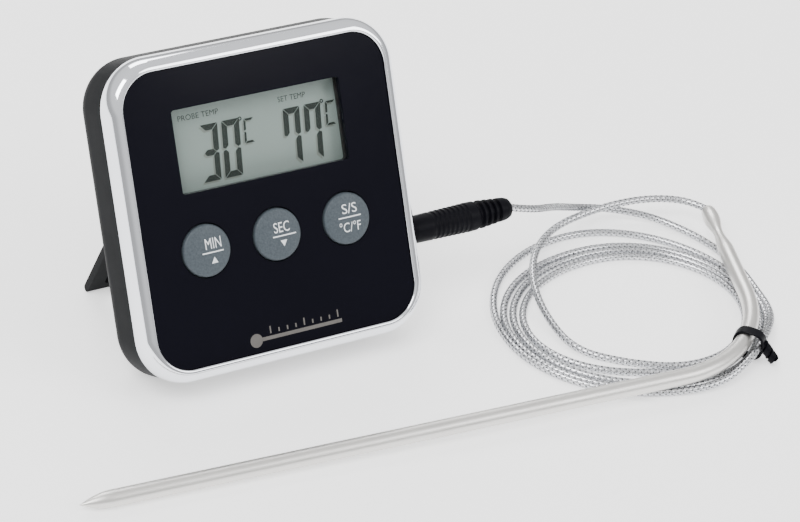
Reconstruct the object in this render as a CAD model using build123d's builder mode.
from build123d import *
from math import cos, pi, radians, sin, tan
import os

# Probe thermometer and timer: a square case that leans back on a flip-out stand, and a lead
# that runs from a jack in its right side to a bent steel probe. Millimetres, +Z up. The front
# faces -Y. The origin is on the table, under the middle of the case, stand and probe together.

os.makedirs("parts", exist_ok=True)

# ---------------------------------------------------------------- driving dimensions
case_size = 70.0            # outside of the chrome bezel, both ways
case_corner = 11.0
case_depth = 17.6           # from the face plate's front to the flat of the back
recline = 30.0              # lean of the face from upright, degrees
case_x, case_y = -30.2, 11.6

shell_size = 69.4
shell_wall = 1.6
back_round = 6.0            # rounding of the back's edges
bezel_depth = 4.0
bezel_crest = 0.65          # how far the bezel stands proud of the plate

plate_size = 63.6
plate_corner = 7.8
plate_thickness = 1.2
frame_size = 65.8
frame_corner, frame_wall = 8.6, 1.2
frame_back = 3.0            # depth of the front frame's back face
frame_skirt = 5.0           # depth of the wall round it
fit_gap = 0.1               # gap left at a loose fit, per side

window_width, window_height = 41.0, 18.0
window_u, window_v = -0.2, 14.0
lens_margin = 1.1
lens_thickness = 1.0
lcd_depth = 3.6             # front of the display glass, below the plate's front
lcd_width, lcd_height, lcd_thickness = 46.0, 22.5, 1.8

button_pitch = 17.3
button_v = -7.6
button_radius = 5.65
button_rim, button_dome = 0.8, 1.2      # heights above the plate
button_travel = 0.6
button_flange_radius, button_flange = 6.9, 0.8
button_stem_radius, button_stem_end = 2.2, 4.9

board_front, board_thickness = 7.4, 1.6
board_width, board_top, board_bottom = 61.0, 30.5, -14.2

cell_radius, cell_length = 5.25, 44.5
cell_v, cell_w = -20.5, -8.9
tub_left, tub_right = -24.7, 22.7       # inner ends of the cell's compartment
tub_height, tub_floor = 11.0, 14.4
door_width, door_top, door_bottom, door_thickness = 45.8, -13.4, -27.8, 1.2

recess_half, recess_top, recess_bottom, recess_depth = 27.2, 4.2, -31.2, 2.0
recess_corner = 0.8
hinge_v, hinge_w = 2.0, -16.1
hinge_groove = 14.25
stand_open = 52.0           # degrees out from its recess
stand_thickness = 1.8
stand_half = 26.8
stand_arm, stand_bar = 3.5, 2.6         # widths of the side arms and of the foot's bar
stand_shoulder = 2.6        # the opening begins this far below the hinge
stand_pin_radius = 0.8
stand_knuckle = 1.5
stand_heel = 1.6
pin_half = 28.6             # half the stand pin's length

post_radius, post_level = 2.7, 12.5     # the shell's screw posts and the plane they meet at
board_post_radius = 2.1
screw_radius, screw_head_radius, screw_head = 1.0, 1.7, 1.3
board_screw_radius, board_screw_head_radius, board_screw_head = 0.8, 1.6, 1.1
screw_sunk = 0.9            # how far the case screws' heads lie below the back
screw_reach, board_screw_reach = 7.0, 3.6       # depths of the frame's screw holes
case_screw_places = [(-27.2, 25.5), (27.2, 25.5), (-29.8, -21.4), (29.8, -21.4)]
board_screw_places = [(-28.6, 10.0), (28.6, 10.0), (-28.6, -7.6), (28.6, -7.6)]
magnet_places = [(-19.5, 17.0), (19.5, 17.0)]
magnet_radius, magnet_thickness = 4.5, 2.0
buzzer_u, buzzer_v, buzzer_radius = 0.0, 21.0, 10.2
switch_v, switch_travel = 8.0, 3.0

jack_v, jack_w = -15.0, -8.0
jack_length, jack_width, jack_height = 8.8, 6.0, 5.6
jack_nose_radius = 2.6
plug_pin_radius, plug_pin_length = 1.25, 9.6
plug_length = 28.8
plug_gap = 0.2              # between the case's side and the plug's collar

cord_diameter = 1.6
coil_height = 2.0
coil_centre, coil_outside = (55.8, -12.8), (36.2, 30.5)
coil_hollow_centre, coil_hollow = (57.0, -13.4), (26.7, 19.4)
probe_radius, probe_bore = 1.9, 1.5
probe_bend = 30.8
probe_tip_length = 7.0
tie_width, tie_height, tie_strip, tie_band = 7.3, 7.2, 2.6, 0.5
tie_ends, tie_ends_radius, tie_ends_height = 4.2, 1.2, 4.6      # its two ends, twisted together
# the crimp: its length, its narrowest and widest places from its start, and its radii
crimp_length, crimp_waist, crimp_flare = 16.5, 7.2, 12.9
waist_radius, flare_radius, mouth_radius, mouth_bore = 1.14, 1.95, 1.2, 0.85

# ---------------------------------------------------------------- planes of the leaning case
lean = radians(recline)
face_height = ((shell_size / 2 - back_round) * cos(lean)
               + (case_depth - back_round) * sin(lean) + back_round)
face = Plane(origin=(case_x, case_y, face_height), x_dir=(1, 0, 0),
             z_dir=(0, -cos(lean), sin(lean)))


def at(u, v, w):
    # a point u across the face, v up it and w out of it
    return face.from_local_coords((u, v, w))


def level(w):
    # the plane parallel to the face plate, w in front of it
    return face.offset(w)


def section(u, v):
    # a cut across the case through (u, v): local x runs along the width, local y outward
    return Plane(origin=at(u, v, 0), x_dir=face.x_dir, z_dir=-face.y_dir)


def outward_axis(u, v):
    return Axis(at(u, v, 0), face.z_dir)


def side_plane(u, v, w):
    # faces the case's right: local x runs up the face, local y outward
    return Plane(origin=at(u, v, w), x_dir=face.y_dir, z_dir=(1, 0, 0))


pieces = {}

# ---------------------------------------------------------------- face plate and its window
with BuildPart() as face_plate:
    with BuildSketch(level(-plate_thickness)):
        RectangleRounded(plate_size, plate_size, plate_corner)
        with Locations((window_u, window_v)):
            RectangleRounded(window_width, window_height, 0.6, mode=Mode.SUBTRACT)
        with Locations((0, button_v)):
            with GridLocations(button_pitch, 0, 3, 1):
                Circle(button_radius + 0.3, mode=Mode.SUBTRACT)
    extrude(amount=plate_thickness)
pieces["face_plate"] = face_plate

with BuildPart() as window_lens:
    with BuildSketch(level(-plate_thickness - lens_thickness)):
        with Locations((window_u, window_v)):
            RectangleRounded(window_width + 2 * lens_margin, window_height + 2 * lens_margin, 1)
    extrude(amount=lens_thickness)
pieces["window_lens"] = window_lens

# ---------------------------------------------------------------- chrome bezel, one swept ring
half_case = case_size / 2
bezel_inner = plate_size / 2 + fit_gap
bezel_pocket = frame_size / 2 + 0.4
with BuildPart() as chrome_bezel:
    with BuildLine(face):
        FilletPolyline(
            (half_case, 0), (half_case, half_case), (-half_case, half_case),
            (-half_case, -half_case), (half_case, -half_case), (half_case, -half_case / 2),
            radius=case_corner)
        Line((half_case, -half_case / 2), (half_case, 0))
    with BuildSketch(section(0, 0)):
        with BuildLine():
            Line((bezel_inner, -plate_thickness), (bezel_inner, 0.2))
            ThreePointArc((bezel_inner, 0.2), (bezel_inner + 0.14, 0.53),
                          (bezel_inner + 0.5, bezel_crest))
            ThreePointArc((bezel_inner + 0.5, bezel_crest), (half_case - 0.82, -0.62),
                          (half_case, -3.0))
            Polyline((half_case, -3.0), (half_case, -bezel_depth), (bezel_pocket, -bezel_depth),
                     (bezel_pocket, -plate_thickness), (bezel_inner, -plate_thickness))
        make_face()
    sweep()
pieces["chrome_bezel"] = chrome_bezel

# ---------------------------------------------------------------- front frame behind the plate
with BuildPart() as front_frame:
    with BuildSketch(level(-frame_back)):
        RectangleRounded(frame_size, frame_size, frame_corner)
        with Locations((window_u, window_v)):
            RectangleRounded(window_width + 0.4, window_height + 0.4, 0.6, mode=Mode.SUBTRACT)
        with Locations((0, button_v)):
            with GridLocations(button_pitch, 0, 3, 1):
                Circle(button_radius + 0.35, mode=Mode.SUBTRACT)
    extrude(amount=frame_back - plate_thickness)
    with BuildSketch(level(-plate_thickness - lens_thickness - 0.1)):
        with Locations((window_u, window_v)):
            RectangleRounded(window_width + 2 * lens_margin + 0.2,
                             window_height + 2 * lens_margin + 0.2, 1)
    extrude(amount=lens_thickness + 0.1, mode=Mode.SUBTRACT)
    with BuildSketch(level(-frame_skirt)):
        RectangleRounded(frame_size, frame_size, frame_corner)
        RectangleRounded(frame_size - 2 * frame_wall, frame_size - 2 * frame_wall,
                         frame_corner - frame_wall, mode=Mode.SUBTRACT)
    extrude(amount=frame_skirt - frame_back)
    with BuildSketch(level(fit_gap - post_level)):
        with Locations(*case_screw_places):
            Circle(post_radius - 0.2)
    extrude(amount=post_level - fit_gap - frame_back)
    with BuildSketch(level(-board_front)):
        with Locations(*board_screw_places):
            Circle(board_post_radius)
    extrude(amount=board_front - frame_back)
    with BuildSketch(level(fit_gap - post_level)):
        with Locations(*case_screw_places):
            Circle(screw_radius)
    extrude(amount=screw_reach, mode=Mode.SUBTRACT)
    with BuildSketch(level(-board_front)):
        with Locations(*board_screw_places):
            Circle(board_screw_radius)
    extrude(amount=board_screw_reach, mode=Mode.SUBTRACT)
pieces["front_frame"] = front_frame

# ---------------------------------------------------------------- display
with BuildPart() as lcd_glass:
    with BuildSketch(level(-lcd_depth - lcd_thickness)):
        with Locations((window_u, window_v)):
            Rectangle(lcd_width, lcd_height)
    extrude(amount=lcd_thickness)
pieces["lcd_glass"] = lcd_glass

with BuildPart() as lcd_reflector:
    with BuildSketch(level(-lcd_depth - lcd_thickness - 0.2)):
        with Locations((window_u, window_v)):
            Rectangle(lcd_width - 1.0, lcd_height - 5.0)
    extrude(amount=0.2)
pieces["lcd_reflector"] = lcd_reflector

with BuildPart() as lcd_holder:
    with BuildSketch(level(-board_front)):
        with Locations((window_u, window_v)):
            RectangleRounded(lcd_width + 2.6, lcd_height + 2.6, 1.2)
            Rectangle(lcd_width + 0.2, lcd_height + 0.2, mode=Mode.SUBTRACT)
    extrude(amount=board_front - frame_back - 0.1)
    with BuildSketch(level(-lcd_depth)):
        with Locations((window_u, window_v)):
            RectangleRounded(lcd_width + 2.6, lcd_height + 2.6, 1.2)
            Rectangle(window_width + 1.6, window_height + 1.6, mode=Mode.SUBTRACT)
    extrude(amount=lcd_depth - frame_back - 0.1)
pieces["lcd_holder"] = lcd_holder

with BuildPart() as zebra_strips:
    with BuildSketch(level(-board_front)):
        with Locations((window_u, window_v)):
            with GridLocations(0, lcd_height - 2.1, 1, 2):
                Rectangle(lcd_width - 2.0, 1.8)
    extrude(amount=board_front - lcd_depth - lcd_thickness)
pieces["zebra_strips"] = zebra_strips

# ---------------------------------------------------------------- buttons and keypad
for place, button_name in enumerate(("button_minute", "button_second", "button_start_stop")):
    button_u = (place - 1) * button_pitch
    with BuildPart() as button_cap:
        with BuildSketch(section(button_u, button_v)):
            with BuildLine():
                TangentArc((0, button_dome), (button_radius - 0.5, button_rim), tangent=(1, 0))
                ThreePointArc((button_radius - 0.5, button_rim),
                              (button_radius - 0.14, button_rim - 0.2),
                              (button_radius, button_rim - 0.6))
                flange_top = -frame_back - 0.15
                Polyline((button_radius, button_rim - 0.6), (button_radius, flange_top),
                         (button_flange_radius, flange_top),
                         (button_flange_radius, flange_top - button_flange),
                         (button_stem_radius, flange_top - button_flange),
                         (button_stem_radius, -button_stem_end), (0, -button_stem_end),
                         (0, button_dome))
            make_face()
        revolve(axis=outward_axis(button_u, button_v))
    pieces[button_name] = button_cap

dome_top = button_stem_end + button_travel + 0.1
mat_top = board_front - 0.7
with BuildPart() as keypad_mat:
    with BuildSketch(level(-board_front)):
        with Locations((0, button_v)):
            RectangleRounded(45.6, 9.4, 2)
    extrude(amount=board_front - mat_top)
    with BuildSketch(level(-mat_top)):
        with Locations((0, button_v)):
            with GridLocations(button_pitch, 0, 3, 1):
                Circle(4.2)
    extrude(amount=mat_top - dome_top, taper=50)
pieces["keypad_mat"] = keypad_mat

# ---------------------------------------------------------------- circuit board and its parts
board_back = board_front + board_thickness
with BuildPart() as circuit_board:
    with BuildSketch(level(-board_back)):
        with Locations((0, (board_top + board_bottom) / 2)):
            Rectangle(board_width, board_top - board_bottom)
        with Locations((27.4, board_bottom)):
            Rectangle(7.4, 5.6, mode=Mode.SUBTRACT)
        with Locations(*case_screw_places[:2]):
            Circle(2.9, mode=Mode.SUBTRACT)
            Rectangle(12, 12, align=(Align.CENTER, Align.MIN), mode=Mode.SUBTRACT)
        with Locations(*board_screw_places):
            Circle(0.9, mode=Mode.SUBTRACT)
    extrude(amount=board_thickness)
pieces["circuit_board"] = circuit_board

with BuildPart() as chip_blob:
    with BuildSketch(level(-board_back - 1.3)):
        with Locations((-14, 18)):
            Circle(5.5)
    extrude(amount=1.3)
    blob_top = chip_blob.faces().sort_by(outward_axis(-14, 18))[0].edges()
    fillet(blob_top, radius=1.2)
pieces["chip_blob"] = chip_blob

with BuildPart() as board_parts:
    with BuildSketch(level(-board_back - 0.6)):
        with Locations((12, 14)):
            with GridLocations(3.2, 3.4, 4, 3):
                Rectangle(2.0, 1.2)
    extrude(amount=0.6)
    with BuildSketch(level(-board_back - 2.2)):
        with Locations((-14, 6)):
            RectangleRounded(7.0, 2.2, 0.9)
    extrude(amount=2.2)
    with BuildSketch(level(-board_back - 4.4)):
        with Locations((21, 10.4)):
            Circle(2.4)
    extrude(amount=4.4)
pieces["board_parts"] = board_parts

with BuildPart() as board_screws:
    with BuildSketch(level(-board_back)):
        with Locations(*board_screw_places):
            Circle(board_screw_radius)
    extrude(amount=board_screw_reach + 1.0)
    with BuildSketch(level(-board_back - board_screw_head)):
        with Locations(*board_screw_places):
            Circle(board_screw_head_radius)
    extrude(amount=board_screw_head)
    with BuildSketch(level(-board_back - board_screw_head)):
        with Locations(*board_screw_places):
            Rectangle(1.9, 0.4)
            Rectangle(0.4, 1.9)
    extrude(amount=0.6, mode=Mode.SUBTRACT)
pieces["board_screws"] = board_screws

# ---------------------------------------------------------------- mode switch on the board's back
with BuildPart() as switch_body:
    with BuildSketch(level(-board_back - 3.5)):
        with Locations((0, switch_v)):
            Rectangle(8.6, 3.8)
            Rectangle(switch_travel + 2.4, 1.8, mode=Mode.SUBTRACT)
    extrude(amount=3.5)
    with BuildSketch(level(-board_back - 1.2)):
        with Locations((0, switch_v)):
            Rectangle(8.6, 3.8)
    extrude(amount=1.2)
pieces["switch_body"] = switch_body

with BuildPart() as switch_knob:
    knob_u = -switch_travel / 2
    with BuildSketch(level(-case_depth + 1.0)):
        with Locations((knob_u, switch_v)):
            Rectangle(1.8, 1.4)
    extrude(amount=case_depth - 1.0 - 11.0)
    with BuildSketch(level(-case_depth + 0.1)):
        with Locations((knob_u, switch_v)):
            RectangleRounded(5.0, 2.8, 0.7)
    extrude(amount=0.9)
    with BuildSketch(level(-case_depth - 0.25)):
        with Locations((knob_u, switch_v)):
            with GridLocations(1.3, 0, 3, 1):
                Rectangle(0.5, 2.2)
    extrude(amount=0.6)
pieces["switch_knob"] = switch_knob

# ---------------------------------------------------------------- back shell
recess_floor = case_depth - recess_depth
tub_v = (cell_v + tub_height / 2, cell_v - tub_height / 2)
with BuildPart() as back_shell:
    with BuildSketch(level(-case_depth)):
        RectangleRounded(shell_size, shell_size, case_corner - 0.3)
    extrude(amount=case_depth - bezel_depth)
    back_edges = back_shell.faces().sort_by(outward_axis(0, 0))[0].edges()
    fillet(back_edges, radius=back_round)
    front_face = back_shell.faces().sort_by(outward_axis(0, 0))[-1]
    offset(amount=-shell_wall, openings=front_face)
    # pads behind the recess, hinge, switch, magnets and buzzer, and the screw posts
    with BuildSketch(level(-case_depth + shell_wall)):
        with Locations((0, (recess_top + recess_bottom) / 2 + 0.4)):
            Rectangle(2 * (recess_half + shell_wall), recess_top - recess_bottom + 2.0)
    extrude(amount=case_depth - shell_wall - tub_floor)
    with BuildSketch(level(-case_depth + shell_wall)):
        with Locations((0, 2.4)):
            Rectangle(2 * recess_half + 5.2, 6.4)
    extrude(amount=case_depth - shell_wall - hinge_groove + 1.2)
    with BuildSketch(level(-case_depth + shell_wall)):
        with Locations((0, switch_v)):
            Rectangle(13.0, 6.4)
        with Locations(*magnet_places):
            Circle(magnet_radius + 1.3)
    extrude(amount=1.4)
    with BuildSketch(level(-case_depth + shell_wall)):
        with Locations((buzzer_u, buzzer_v)):
            Circle(buzzer_radius + 0.6)
            Circle(buzzer_radius - 1.4, mode=Mode.SUBTRACT)
    extrude(amount=1.4)
    with BuildSketch(level(-case_depth + shell_wall)):
        with Locations(*case_screw_places):
            Circle(post_radius)
    extrude(amount=case_depth - shell_wall - post_level)
    # stand recess, its hinge groove and the finger scoop below it
    with BuildSketch(level(-case_depth - 1)):
        with Locations((0, (recess_top + recess_bottom) / 2)):
            RectangleRounded(2 * recess_half, recess_top - recess_bottom, recess_corner)
    extrude(amount=recess_depth + 1, mode=Mode.SUBTRACT)
    with BuildSketch(level(-case_depth)):
        with Locations((0, 2.0)):
            Rectangle(2 * recess_half, 4.4)
    extrude(amount=case_depth - hinge_groove, mode=Mode.SUBTRACT)
    with BuildSketch(level(-case_depth - 1)):
        with Locations((0, recess_bottom)):
            RectangleRounded(12.0, 5.6, 1.5)
    extrude(amount=recess_depth + 1, mode=Mode.SUBTRACT)
    # compartment for the cell, open to the front, and the door's opening
    with BuildSketch(level(-tub_floor)):
        with Locations(((tub_left + tub_right) / 2 + 0.35, cell_v - 0.2)):
            Rectangle(tub_right - tub_left + 4.7, tub_height + 5.6)
    extrude(amount=tub_floor - board_back - 0.3)
    with BuildSketch(level(-tub_floor)):
        with Locations(((tub_left + tub_right) / 2, cell_v)):
            Rectangle(tub_right - tub_left, tub_height)
    extrude(amount=tub_floor, mode=Mode.SUBTRACT)
    with BuildSketch(level(-recess_floor)):
        with Locations((0, (door_top + door_bottom) / 2)):
            Rectangle(door_width + 0.4, door_top - door_bottom + 0.4)
    extrude(amount=recess_floor - tub_floor, mode=Mode.SUBTRACT)
    # two slots above the door's opening, which take its tabs
    with BuildSketch(level(-tub_floor - 0.75)):
        with Locations((0, door_top + 0.3)):
            with GridLocations(30.0, 0, 2, 1):
                Rectangle(5.6, 2.8)
    extrude(amount=2.6, mode=Mode.SUBTRACT)
    # screw holes, magnet pockets, buzzer holes and switch slot
    with BuildSketch(level(-case_depth)):
        with Locations(*case_screw_places):
            Circle(1.15)
    extrude(amount=6, mode=Mode.SUBTRACT)
    with BuildSketch(level(-case_depth - 1)):
        with Locations(*case_screw_places):
            Circle(1.9)
    extrude(amount=3.2, mode=Mode.SUBTRACT)
    with BuildSketch(level(-case_depth)):
        with Locations(*magnet_places):
            Circle(magnet_radius + fit_gap)
    extrude(amount=magnet_thickness + fit_gap, mode=Mode.SUBTRACT)
    with BuildSketch(level(-case_depth)):
        with Locations((buzzer_u, buzzer_v)):
            Circle(0.6)
            with PolarLocations(3.0, 6):
                Circle(0.6)
        with Locations((0, switch_v)):
            Rectangle(switch_travel + 2.6, 2.0)
    extrude(amount=5, mode=Mode.SUBTRACT)
    with BuildSketch(level(-case_depth)):
        with Locations((0, switch_v)):
            SlotOverall(switch_travel + 7.0, 3.6)
    extrude(amount=1.2, mode=Mode.SUBTRACT)
    # hole for the jack's nose, room for its body, and holes for the stand's pin
    with BuildSketch(side_plane(shell_size / 2 - 3, jack_v, jack_w)):
        Circle(jack_nose_radius + 0.05)
    extrude(amount=4, mode=Mode.SUBTRACT)
    with BuildSketch(side_plane(23.9, jack_v, jack_w)):
        Rectangle(jack_width + 0.4, jack_height + 0.4)
    extrude(amount=9.1, mode=Mode.SUBTRACT)
    with BuildSketch(side_plane(-pin_half, hinge_v, hinge_w)):
        Circle(stand_pin_radius)
    extrude(amount=2 * pin_half, mode=Mode.SUBTRACT)
pieces["back_shell"] = back_shell

# ---------------------------------------------------------------- screws, magnets and buzzer
with BuildPart() as case_screws:
    with BuildSketch(level(screw_sunk + screw_head - case_depth)):
        with Locations(*case_screw_places):
            Circle(screw_radius)
    extrude(amount=8.6)
    with BuildSketch(level(screw_sunk - case_depth)):
        with Locations(*case_screw_places):
            Circle(screw_head_radius)
    extrude(amount=screw_head)
    with BuildSketch(level(screw_sunk - case_depth)):
        with Locations(*case_screw_places):
            Rectangle(2.1, 0.45)
            Rectangle(0.45, 2.1)
    extrude(amount=0.8, mode=Mode.SUBTRACT)
pieces["case_screws"] = case_screws

with BuildPart() as magnets:
    with BuildSketch(level(-case_depth + fit_gap)):
        with Locations(*magnet_places):
            Circle(magnet_radius)
    extrude(amount=magnet_thickness)
pieces["magnets"] = magnets

buzzer_level = -case_depth + shell_wall + 1.4
with BuildPart() as buzzer_disc:
    with BuildSketch(level(buzzer_level)):
        with Locations((buzzer_u, buzzer_v)):
            Circle(buzzer_radius)
    extrude(amount=0.25)
pieces["buzzer_disc"] = buzzer_disc

with BuildPart() as buzzer_ceramic:
    with BuildSketch(level(buzzer_level + 0.25)):
        with Locations((buzzer_u, buzzer_v)):
            Circle(7.0)
    extrude(amount=0.2)
pieces["buzzer_ceramic"] = buzzer_ceramic

# ---------------------------------------------------------------- cell, contacts and door
with BuildPart() as battery_cell:
    with BuildSketch(side_plane(-cell_length / 2, cell_v, cell_w)):
        Circle(cell_radius)
    extrude(amount=cell_length - 1.0)
    with BuildSketch(side_plane(cell_length / 2 - 1.0, cell_v, cell_w)):
        Circle(1.9)
    extrude(amount=1.0)
pieces["battery_cell"] = battery_cell

with BuildPart() as battery_contact:
    with BuildSketch(side_plane(tub_right - 0.4, cell_v, cell_w)):
        RectangleRounded(8.0, 8.0, 1)
    extrude(amount=0.4)
pieces["battery_contact"] = battery_contact

spring_length = -cell_length / 2 - tub_left - 0.4
with BuildPart() as battery_spring:
    with BuildSketch(side_plane(tub_left, cell_v, cell_w)):
        RectangleRounded(8.0, 8.0, 1)
    extrude(amount=0.4)
    for ring in range(3):
        ring_plane = side_plane(tub_left + 0.55 + ring * 0.75, cell_v, cell_w)
        with BuildSketch(Plane(origin=ring_plane.origin, x_dir=(1, 0, 0), z_dir=face.z_dir)):
            with Locations((0, 3.4 - 0.6 * ring)):
                Circle(0.42)
        revolve(axis=Axis(ring_plane.origin, (1, 0, 0)))
pieces["battery_spring"] = battery_spring

door_hinge_v, door_hinge_w = door_top - door_thickness / 2, door_thickness / 2 - recess_floor
with BuildPart() as battery_door:
    with BuildSketch(level(-recess_floor)):
        with Locations((0, (door_hinge_v + door_bottom) / 2)):
            Rectangle(door_width, door_hinge_v - door_bottom)
    extrude(amount=door_thickness)
    # rounded upper edge, which the door turns about, and the tabs that hold it
    with BuildSketch(side_plane(-door_width / 2, door_hinge_v, door_hinge_w)):
        Circle(door_thickness / 2)
    extrude(amount=door_width)
    with BuildSketch(level(-tub_floor - door_thickness / 2)):
        with Locations((0, door_top + 0.4)):
            with GridLocations(30.0, 0, 2, 1):
                Rectangle(5.0, 1.4)
    extrude(amount=door_thickness / 2)
    with BuildSketch(level(-recess_floor)):
        with Locations((0, door_bottom + 2.6)):
            with GridLocations(0, 1.0, 1, 3):
                SlotOverall(9.0, 0.5)
    extrude(amount=0.35, mode=Mode.SUBTRACT)
pieces["battery_door"] = battery_door

# ---------------------------------------------------------------- flip-out stand and its pin
swing = radians(stand_open)
hinge_point = at(0, hinge_v, hinge_w)
leg_offset = case_depth + hinge_w - 0.05 - stand_thickness / 2
leg_drop = cos(lean) * cos(swing) + sin(lean) * sin(swing)
leg_rise = cos(lean) * sin(swing) - sin(lean) * cos(swing)
leg_length = (hinge_point.Z + leg_offset * leg_rise - stand_thickness / 2) / leg_drop - 0.01
stand_plane = Plane(origin=hinge_point, x_dir=(1, 0, 0),
                    z_dir=face.y_dir * sin(swing) - face.z_dir * cos(swing))
leg_end = leg_length + stand_thickness / 2
with BuildPart() as stand:
    with BuildSketch(stand_plane.offset(leg_offset - stand_thickness / 2)):
        with Locations((0, leg_end / 2)):
            Rectangle(2 * stand_half, leg_end)
        with Locations((0, (stand_shoulder + leg_end - stand_bar) / 2)):
            RectangleRounded(2 * (stand_half - stand_arm), leg_end - stand_bar - stand_shoulder,
                             1.2, mode=Mode.SUBTRACT)
    extrude(amount=stand_thickness)
    foot_edges = stand.faces().sort_by(Axis(hinge_point, stand_plane.y_dir))[-1].edges()
    fillet(foot_edges.filter_by(Axis.X), radius=stand_thickness / 2 - 0.02)
    with BuildSketch(side_plane(-stand_half, hinge_v, hinge_w)):
        Circle(stand_knuckle)
    extrude(amount=2 * stand_half)
    with BuildSketch(stand_plane.offset(-stand_thickness / 2)):
        with Locations((0, -stand_heel / 2)):
            Rectangle(2 * stand_half, stand_heel)
    extrude(amount=stand_thickness)
    # grooves for the thumb across the foot's bar
    with BuildSketch(stand_plane.offset(leg_offset + stand_thickness / 2 - 0.3)):
        with Locations((0, leg_end - stand_bar / 2)):
            with GridLocations(1.6, 0, 7, 1):
                Rectangle(0.6, stand_bar - 1.0)
    extrude(amount=0.5, mode=Mode.SUBTRACT)
    with BuildSketch(side_plane(-stand_half - 1, hinge_v, hinge_w)):
        Circle(stand_pin_radius + 0.06)
    extrude(amount=2 * stand_half + 2, mode=Mode.SUBTRACT)
pieces["stand"] = stand

with BuildPart() as stand_pin:
    with BuildSketch(side_plane(-pin_half, hinge_v, hinge_w)):
        Circle(stand_pin_radius)
    extrude(amount=2 * pin_half)
pieces["stand_pin"] = stand_pin

# ---------------------------------------------------------------- jack in the right side
jack_left = shell_size / 2 - shell_wall - jack_length
with BuildPart() as probe_jack:
    with BuildSketch(side_plane(jack_left, jack_v, jack_w)):
        Rectangle(jack_width, jack_height)
    extrude(amount=jack_length - 0.1)
    with BuildSketch(side_plane(jack_left + jack_length - 0.1, jack_v, jack_w)):
        Circle(jack_nose_radius)
    extrude(amount=shell_wall + 0.1)
    with BuildSketch(side_plane(jack_left - 1, jack_v, jack_w)):
        Circle(plug_pin_radius + 0.08)
    extrude(amount=jack_length + shell_wall + 2, mode=Mode.SUBTRACT)
pieces["probe_jack"] = probe_jack

with BuildPart() as jack_terminals:
    with BuildSketch(level(jack_w + jack_height / 2)):
        with Locations((jack_left + jack_length / 2, jack_v)):
            with GridLocations(4.4, 0, 2, 1):
                Rectangle(1.2, 4.0)
    extrude(amount=0.3)
pieces["jack_terminals"] = jack_terminals

# ---------------------------------------------------------------- soldered leads inside the case
lead_routes = {
    "jack_leads": [
        [(jack_left + 2.2, jack_v, -4.5), (jack_left + 2.2, -13.2, -4.5), (24.0, -13.2, -4.5),
         (22.2, -13.2, -7.0)],
        [(jack_left + 6.6, jack_v, -4.5), (jack_left + 6.6, -10.6, -4.5), (25.4, -9.6, -4.5),
         (24.4, -9.6, -7.0)],
    ],
    "battery_leads": [
        [(tub_left + 0.2, cell_v + 4.0, -6.6), (tub_left + 0.2, -13.4, -6.6),
         (-25.6, -11.2, -6.6), (-26.6, -11.2, -7.0)],
        [(tub_right - 0.2, cell_v + 4.0, -6.2), (tub_right - 0.2, -14.6, -5.6),
         (19.8, -13.4, -5.2), (18.6, -13.4, -7.0)],
    ],
    "buzzer_leads": [
        [(5.0, buzzer_v + 3.0, -13.7), (7.5, buzzer_v + 4.0, -12.0), (7.5, buzzer_v + 4.0, -9.5)],
        [(8.6, buzzer_v - 1.0, -13.9), (11.0, buzzer_v, -12.0), (11.0, buzzer_v, -9.5)],
    ],
}
lead_radius = 0.4
for lead_name, routes in lead_routes.items():
    with BuildPart() as lead_pair:
        for route in routes:
            with BuildLine() as lead_line:
                FilletPolyline(*[at(*point) for point in route], radius=0.7)
            with BuildSketch(Plane(origin=lead_line.line @ 0, z_dir=lead_line.line % 0)):
                Circle(lead_radius)
            sweep(path=lead_line.line)
    pieces[lead_name] = lead_pair

# ---------------------------------------------------------------- plug on the lead
plug_start = at(shell_size / 2 + plug_gap, jack_v, jack_w)
plug_axis = Axis(plug_start, (1, 0, 0))
plug_section = Plane(origin=plug_start, x_dir=(1, 0, 0), z_dir=(0, -1, 0))
plug_outline = [(0, 0), (0, 2.9), (0.3, 3.15), (1.7, 3.15), (1.9, 2.95), (2.2, 2.95),
                (2.4, 3.1), (7.4, 3.2)]
for ring in range(8):
    ring_x = 7.9 + 1.2 * ring
    ring_radius = 3.22 + 0.02 * ring
    plug_outline += [(ring_x, ring_radius - 0.22), (ring_x + 0.35, ring_radius - 0.22),
                     (ring_x + 0.6, ring_radius), (ring_x + 0.85, ring_radius)]
plug_outline += [(19.2, 3.3)]
for ring in range(4):
    ring_x = 20.0 + 1.6 * ring
    ring_radius = 3.2 - 0.16 * ring
    plug_outline += [(ring_x, ring_radius - 0.7), (ring_x + 0.5, ring_radius - 0.7),
                     (ring_x + 0.7, ring_radius), (ring_x + 1.2, ring_radius)]
plug_outline += [(27.4, 2.55), (28.3, 2.2), (plug_length, 1.6), (plug_length, 0), (0, 0)]
with BuildPart() as plug_body:
    with BuildSketch(plug_section):
        with BuildLine():
            Polyline(*plug_outline)
        make_face()
    revolve(axis=plug_axis)
pieces["plug_body"] = plug_body

with BuildPart() as plug_pin:
    with BuildSketch(plug_section):
        with BuildLine():
            Polyline((0, 0), (0, plug_pin_radius), (-6.2, plug_pin_radius), (-6.4, 1.1),
                     (-6.9, 1.1), (-7.1, plug_pin_radius), (-8.0, 0.95), (-8.5, 1.2),
                     (-9.2, 0.8), (-plug_pin_length, 0.3), (-plug_pin_length, 0), (0, 0))
        make_face()
    revolve(axis=plug_axis)
pieces["plug_pin"] = plug_pin

# ---------------------------------------------------------------- probe
tip_point = Vector(-93.0, -27.9, 1.79)
bend_point = Vector(73.8, -42.2, 4.6)
end_point = Vector(92.0, 10.5, 5.3)
tip_direction = (tip_point - bend_point).normalized()
end_direction = (end_point - bend_point).normalized()
shoulder = tip_point - tip_direction * probe_tip_length
crimp_start = end_point - end_direction * crimp_length


def along(origin, direction):
    # a cut through origin: local x runs along the direction
    return Plane(origin=origin, x_dir=direction, z_dir=direction.cross(Vector(0, 0, 1)))


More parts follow.
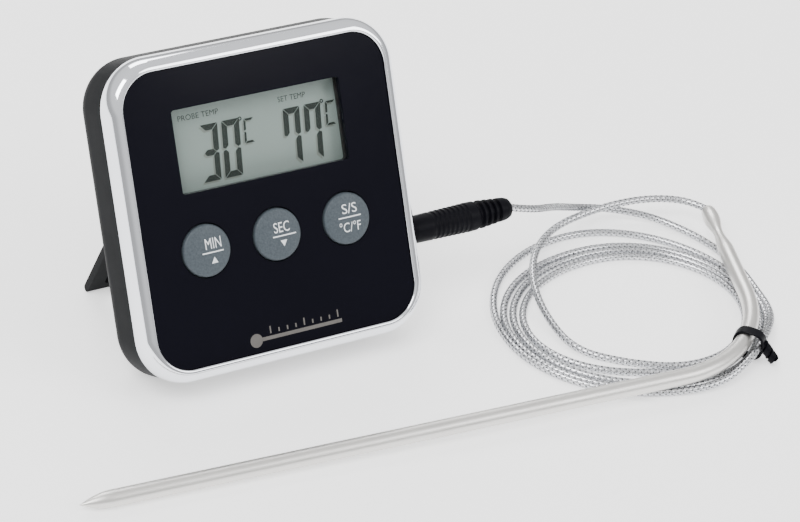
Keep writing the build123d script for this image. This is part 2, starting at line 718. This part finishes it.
bend_turn = radians((bend_point - shoulder).get_angle(crimp_start - bend_point))
bend_run = probe_bend * tan(bend_turn / 2)
bend_start = bend_point + tip_direction * bend_run
bend_end = bend_point + end_direction * bend_run
probe_stretches = {
    "probe_tube": (shoulder, bend_start),
    "probe_neck": (bend_end, crimp_start),
}
for stretch_name, (stretch_start, stretch_end) in probe_stretches.items():
    run = stretch_end - stretch_start
    with BuildPart() as probe_stretch:
        with BuildSketch(Plane(origin=stretch_start, z_dir=run)):
            Circle(probe_radius)
            Circle(probe_bore, mode=Mode.SUBTRACT)
        extrude(amount=run.length)
    pieces[stretch_name] = probe_stretch

with BuildPart() as probe_bend_tube:
    with BuildLine() as bend_line:
        TangentArc(bend_start, bend_end, tangent=-tip_direction)
    with BuildSketch(Plane(origin=bend_start, z_dir=-tip_direction)):
        Circle(probe_radius)
        Circle(probe_bore, mode=Mode.SUBTRACT)
    sweep(path=bend_line.line)
pieces["probe_bend"] = probe_bend_tube

with BuildPart() as probe_mouth:
    # crimped neck and flared mouth where the cord goes in
    with BuildSketch(along(crimp_start, end_direction)):
        with BuildLine():
            Line((0, mouth_bore), (0, probe_radius))
            Spline((0, probe_radius), (crimp_waist / 2, (probe_radius + waist_radius) / 2),
                   (crimp_waist, waist_radius),
                   ((crimp_waist + crimp_flare) / 2, (waist_radius + flare_radius) / 2),
                   (crimp_flare, flare_radius), tangents=[(1, 0), (1, 0)])
            EllipticalCenterArc((crimp_flare, mouth_radius), crimp_length - crimp_flare,
                                flare_radius - mouth_radius, start_angle=90, arc_size=-90)
            Polyline((crimp_length, mouth_radius), (crimp_length, mouth_bore), (0, mouth_bore))
        make_face()
    revolve(axis=Axis(crimp_start, end_direction))
pieces["probe_mouth"] = probe_mouth

with BuildPart() as probe_tip:
    with BuildSketch(along(shoulder, tip_direction)):
        with BuildLine():
            Line((0, 0), (0, probe_radius))
            ThreePointArc((0, probe_radius), (3.6, 1.28), (6.8, 0.2))
            Polyline((6.8, 0.2), (probe_tip_length, 0), (0, 0))
        make_face()
    revolve(axis=Axis(shoulder, tip_direction))
pieces["probe_tip"] = probe_tip

bead_place = shoulder - tip_direction * 3.0
with BuildPart() as sensor_bead:
    with Locations(bead_place):
        Sphere(1.1)
pieces["sensor_bead"] = sensor_bead

with BuildPart() as sensor_leads:
    with BuildLine() as sensor_line:
        FilletPolyline(bead_place - tip_direction * 1.2, bend_point, crimp_start,
                       radius=probe_bend)
    with BuildSketch(Plane(origin=sensor_line.line @ 0, z_dir=sensor_line.line % 0)):
        Circle(0.55)
    sweep(path=sensor_line.line)
pieces["sensor_leads"] = sensor_leads

# ---------------------------------------------------------------- cord
# The cord leaves the plug, sinks to the table and joins the outside of the coil; its
# last loop leaves the coil's inside, rises over the turns and goes into the probe's mouth.
lead_route = [
    plug_start + Vector(plug_length, 0, 0),
    (40.3, 11.0, 17.4),
    (50.6, 16.4, 12.2),
    (60.4, 21.4, 6.3),
    (70.6, 22.2, 3.2),
    (80.6, 17.6, 1.7),
    (86.8, 9.2, 0.95),
    (89.6, 0.6, 0.85),
    (89.9, -7.9, 0.85),
]
loop_route = [
    (66.8, -33.6, 0.85),
    (54.3, -33.8, 0.85),
    (42.8, -27.2, 0.85),
    (35.0, -19.6, 0.9),
    (34.7, -8.4, 1.8),
    (37.4, 2.4, 3.4),
    (44.0, 12.2, 3.8),
    (53.6, 18.8, 4.0),
    (65.0, 20.0, 5.2),
    (76.0, 19.6, 5.8),
    (84.8, 18.0, 5.4),
    (90.4, 14.4, 5.3),
    (92.0, 10.5, 5.3),
]


def bend_radii(route):
    # each bend is as large as its two runs allow
    points = [Vector(*point) for point in route]
    radii = []
    for before, corner, after in zip(points, points[1:], points[2:]):
        arriving, leaving = corner - before, after - corner
        half_turn = radians(arriving.get_angle(leaving)) / 2
        radii.append(0.45 * min(arriving.length, leaving.length) / tan(half_turn))
    return radii


cord_routes = {"cord_lead": lead_route, "cord_loop": loop_route}
for cord_name, route in cord_routes.items():
    radii = bend_radii(route)
    with BuildPart() as cord_tube:
        with BuildLine() as cord_line:
            FilletPolyline(*route, radius=radii)
        with BuildSketch(Plane(origin=cord_line.line @ 0, z_dir=cord_line.line % 0)):
            Circle(cord_diameter / 2)
        sweep(path=cord_line.line)
    pieces[cord_name] = cord_tube
    cord_length = cord_line.wire().length
    full_volume = pi * cord_diameter**2 / 4 * cord_length
    print(cord_name, "length", round(cord_length, 1), "bend radii",
          [round(radius, 1) for radius in radii],
          "volume ratio", round(cord_tube.part.volume / full_volume, 3))

with BuildPart() as cord_coil:
    with BuildSketch(Plane.XY):
        with Locations(coil_centre):
            Ellipse(*coil_outside)
        with Locations(coil_hollow_centre):
            Ellipse(*coil_hollow, mode=Mode.SUBTRACT)
    extrude(amount=coil_height)
pieces["cord_coil"] = cord_coil

# ---------------------------------------------------------------- twist tie round probe and coil
tie_centre = Vector(72.0, -34.6, 0)
tie_across = Vector(0.62, -0.78, 0).normalized()
tie_plane = Plane(origin=tie_centre, x_dir=tie_across, z_dir=tie_across.cross(Vector(0, 0, 1)))
with BuildPart() as twist_tie:
    with BuildSketch(tie_plane.offset(-tie_strip / 2)):
        with Locations((0, tie_height / 2)):
            RectangleRounded(tie_width, tie_height, 2.7)
            RectangleRounded(tie_width - 2 * tie_band, tie_height - 2 * tie_band, 2.2,
                             mode=Mode.SUBTRACT)
    extrude(amount=tie_strip)
    ends_start = tie_centre + tie_across * (tie_width / 2 - tie_band) + Vector(0, 0, tie_ends_height)
    with BuildSketch(Plane(origin=ends_start, z_dir=tie_across - Vector(0, 0, 1))):
        Circle(tie_ends_radius)
    extrude(amount=tie_ends)
pieces["twist_tie"] = twist_tie

# ---------------------------------------------------------------- export
for piece_name, piece in pieces.items():
    piece.part.label = piece_name
    export_step(piece.part, f"parts/{piece_name}.step")
print(len(pieces), "pieces, face height", round(face_height, 3),
      "stand length", round(leg_length, 2), "plug end", plug_start + Vector(plug_length, 0, 0))
